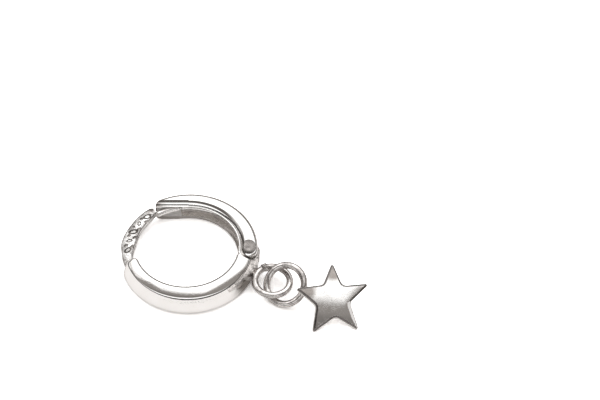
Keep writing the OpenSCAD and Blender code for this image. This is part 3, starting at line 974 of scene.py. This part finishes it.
# %% Star body
def rim_distance(points):
    """Distance of each point from the star's outline."""
    a = outline
    b = np.roll(outline, -1, axis=0)
    ab = b - a
    rel = points[:, None, :] - a[None]
    t = np.clip((rel * ab).sum(-1) / (ab * ab).sum(-1), 0, 1)
    return np.linalg.norm(rel - t[..., None] * ab, axis=-1).min(axis=1)


def level_layer(share, z):
    """The outline, drawn in to a share of its size and laid level at one height."""
    return np.column_stack([outline * share, np.full(spokes, z)])


RIM_FRONT = 0.24
RIM_WORN_OFF = 0.14
RIM_BACK = 0.06
WORN_FROM = 37
WORN_TO = 76
FLAT_WIDE = 0.34
FLAT_FALL = math.tan(math.radians(24))
DOME_R = (STAR_R ** 2 + STAR_DOME ** 2) / (2 * STAR_DOME)
LAYERS = 44
CROWDED = 1.8
layers = []
for share in 1 - (1 - np.linspace(0, 1, LAYERS)[1:]) ** CROWDED:
    flat = outline * share
    near = rim_distance(flat)
    around = np.degrees(np.arctan2(flat[:, 1], flat[:, 0]))
    worn = np.clip((around - WORN_FROM) / 5, 0, 1) * np.clip((WORN_TO - around) / 6, 0, 1)
    rim = RIM_FRONT - RIM_WORN_OFF * worn
    short = np.clip(1 - near / rim, 0, 1)
    rise = STAR_EDGE + STAR_DOME - DOME_R + np.sqrt(DOME_R ** 2 - (flat ** 2).sum(1))
    rise = rise - worn * FLAT_FALL * np.clip(FLAT_WIDE - near, 0, FLAT_WIDE)
    layers.append(np.column_stack([flat, rise - rim * (1 - np.sqrt(1 - short ** 2))]))
layers += [level_layer(1.0, z) for z in (0.22, 0.14, RIM_BACK)]
layers += [level_layer(1 - RIM_BACK * (1 - math.cos(a)) / 2.2, RIM_BACK * (1 - math.sin(a)))
           for a in angles(30, 90, 2)]
layers += [level_layer(share, 0.0) for share in (0.9, 0.6, 0.3)]
points = np.concatenate(layers + [[[0, 0, STAR_EDGE + STAR_DOME]], [[0, 0, 0]]])
faces = []
last = (len(layers) - 1) * spokes
for i in range(spokes):
    j = (i + 1) % spokes
    for k in range(0, last, spokes):
        faces.append((k + i, k + spokes + i, k + spokes + j, k + j))
    faces.append((len(points) - 2, i, j))
    faces.append((len(points) - 1, last + j, last + i))
star = clean(new_piece("star", points, faces))

# %% Star finishes, and its place
for finish in (star_polish, painted_dark_rim, worn_rim):
    star.data.materials.append(finish)
# The rounded rims take the dark rim finish, painted shade for the star's outlines; the steep walls and the
# worn flat take the pale finish.
for face in star.data.polygons:
    level = abs(face.normal.z)
    on_flat = WORN_FROM - 1 < direction_of(face.center) < WORN_TO + 2 and face.normal.y > 0.1
    pale = level < 0.4 or (on_flat and 0.7 < level < 0.968)
    face.material_index = 2 if pale else int(level < 0.965)
star.data.transform(Matrix.Translation(star_place) @ lie)
shade(star, 50)
print("star's lowest point, mm:", round(min(v.co.z for v in star.data.vertices), 3))
hand_over(star, "front", "star_charm")
bead("solder_star", solder_at + Vector((0.1, 0.0, 0.12)), (0.34, 0.3, 0.2), turn=0, lumps=0.3, seed=9.0)

# %% [markdown]
# ## The room
# Silver shows the room it lies in. Here it is a white tent over a white table. Four things aren't white: the
# grey opening on the camera's side, the camera as a darker patch in it, a grey panel to the left and to the
# right, and the dark gap low down between the tent and the table. The greys shade the rounded edges, and the
# gap draws the fine dark lines that make the metal read as metal.

# %% Helpers for the room
world = bpy.data.worlds.new("tent")
bpy.context.scene.world = world
world.use_nodes = True
world.node_tree.nodes.clear()
w = Wires(world.node_tree)
look = w.add("ShaderNodeTexCoord").outputs["Generated"]
height = w.add("ShaderNodeSeparateXYZ", i0=look).outputs[2]


def toward(azimuth, elevation):
    """A direction in the room."""
    flat = math.cos(math.radians(elevation))
    turn = math.radians(azimuth)
    return flat * math.cos(turn), flat * math.sin(turn), math.sin(math.radians(elevation))


def part_of(vector):
    """How far the looked-at direction points along a vector."""
    return w.add("ShaderNodeVectorMath", {"operation": "DOT_PRODUCT"}, i0=look, i1=vector).outputs[1]


def beyond(value, start, slope):
    """Grows with a slope from a start on, and is 0 before it."""
    return w.times(w.math("MAXIMUM", w.minus(value, start), 0.0), slope)


# %% White tent
CAMERA_TURN = -73.0
WHITE = (1.25, 1.245, 1.24)
OPENING = (0.275, 0.256, 0.242)
OPENING_FOOT = (38.0, 44.0)
OPENING_TOP = (74.0, 64.0)
OPENING_RIGHT = (0.32, 105.0)
OPENING_LEFT = (0.4, 55.0)
CAMERA_BODY = (0.19, 0.176, 0.167)
CAMERA_TOP = (60.0, 55.0)
CAMERA_EDGES = (0.9, 0.7)
PANELS = (0.36, 0.335, 0.315)
PANEL_EDGES = (0.7, 0.85)
PANEL_FOOT = (0.35, 0.42)
PANEL_TOP = (0.62, 0.5)
GAP = (0.04, 0.036, 0.034)
FAR_GAP = (0.17, 0.157, 0.148)
GAP_TOP = 0.25
GAP_EDGE = (0.05, -0.04)
GAP_TURNS_FAR = (-0.1, -0.6)
GAP_RISE = 0.28
near_side = part_of(toward(CAMERA_TURN, 0))
right_side = part_of(toward(CAMERA_TURN + 90, 0))
arch = w.math("DEGREES", w.math("ARCTAN2", height, near_side))
aside = w.math("ABSOLUTE", right_side)
panel = w.times(w.ramp(height, *PANEL_TOP), w.ramp(height, *PANEL_FOOT))
colour = w.mix(w.times(w.ramp(aside, *PANEL_EDGES), panel), WHITE, PANELS)
left_side = w.times(right_side, -1.0)
above = w.minus(arch, w.plus(beyond(right_side, *OPENING_RIGHT), beyond(left_side, *OPENING_LEFT)))
colour = w.mix(w.times(w.ramp(above, *OPENING_TOP), w.ramp(arch, *OPENING_FOOT)), colour, OPENING)
camera_high = w.times(w.ramp(arch, *CAMERA_TOP), w.ramp(arch, *OPENING_FOOT))
colour = w.mix(w.times(camera_high, w.ramp(aside, *CAMERA_EDGES)), colour, CAMERA_BODY)
far_rise = beyond(w.times(near_side, -1.0), 0.0, GAP_RISE)
over_gap = w.minus(height, w.plus(far_rise, GAP_TOP))
gap = w.mix(w.ramp(near_side, *GAP_TURNS_FAR), GAP, FAR_GAP)
colour = w.mix(w.ramp(over_gap, *GAP_EDGE), colour, gap)
backdrop = w.first("ShaderNodeBackground", Color=colour, Strength=1.0)
w.link(backdrop, w.add("ShaderNodeOutputWorld").inputs[0])

# %% [markdown]
# The table is a plain white sheet. The camera sees it brighter than the silver does, so that it comes out
# pure white in the picture without flooding the reflections.

# %% Table
SEEN_BY_SILVER = (1.02, 1.0, 0.99)
SEEN_BY_CAMERA = (2.1, 2.1, 2.1)
bpy.ops.mesh.primitive_plane_add(size=3.0, location=(0, 0, -0.00001))
table = bpy.context.object
table.name = "table"
paper = bpy.data.materials.new("white_table")
paper.use_nodes = True
sheet = paper.node_tree.nodes["Principled BSDF"]
sheet.inputs["Roughness"].default_value = 0.6
sheet.inputs["Specular IOR Level"].default_value = 0.0
w = Wires(paper.node_tree)
direct = w.add("ShaderNodeLightPath").outputs["Is Camera Ray"]
w.link(w.mix(direct, SEEN_BY_SILVER, SEEN_BY_CAMERA), sheet.inputs["Base Color"])
table.data.materials.append(paper)


# %% Soft boxes
def soft_box(name, azimuth, elevation, distance, size, power):
    """A large square light that faces the earring."""
    light = bpy.data.lights.new(name, "AREA")
    light.shape = "SQUARE"
    light.size = size
    light.energy = power
    lamp = add_object(name, light)
    at = Vector(toward(azimuth, elevation)) * distance
    lamp.matrix_world = Matrix.Translation(at) @ at.to_track_quat("Z", "Y").to_matrix().to_4x4()
    return lamp


soft_box("top_box", azimuth=95, elevation=62, distance=0.5, size=0.35, power=0.35)
soft_box("left_box", azimuth=190, elevation=40, distance=0.5, size=0.25, power=0.12)

# %% [markdown]
# ## The camera
# The camera looks down at 49 degrees from a hand's breadth away, turned a little about its own axis.

# %% Camera
SENSOR = 36.0
PICTURE_WIDE = 600
FOCAL_PIXELS = 975
eye = Vector((20.832, -51.732, 76.08)) * MM
aim = Vector((1.497, 11.508, 0.0)) * MM
roll = math.radians(-5.4)
forward = (aim - eye).normalized()
right = forward.cross(Vector((0, 0, 1))).normalized()
up = right.cross(forward)
camera_x = right * math.cos(roll) - up * math.sin(roll)
camera_y = right * math.sin(roll) + up * math.cos(roll)
lens = bpy.data.cameras.new("camera")
lens.sensor_fit = "HORIZONTAL"
lens.sensor_width = SENSOR
lens.lens = SENSOR * FOCAL_PIXELS / PICTURE_WIDE
lens.clip_start = 0.001
lens.clip_end = 10
camera = add_object("camera", lens)
facing = Matrix((camera_x, camera_y, -forward)).transposed().to_4x4()
camera.matrix_world = Matrix.Translation(eye) @ facing
bpy.context.scene.camera = camera
bpy.context.scene.view_settings.view_transform = "Standard"
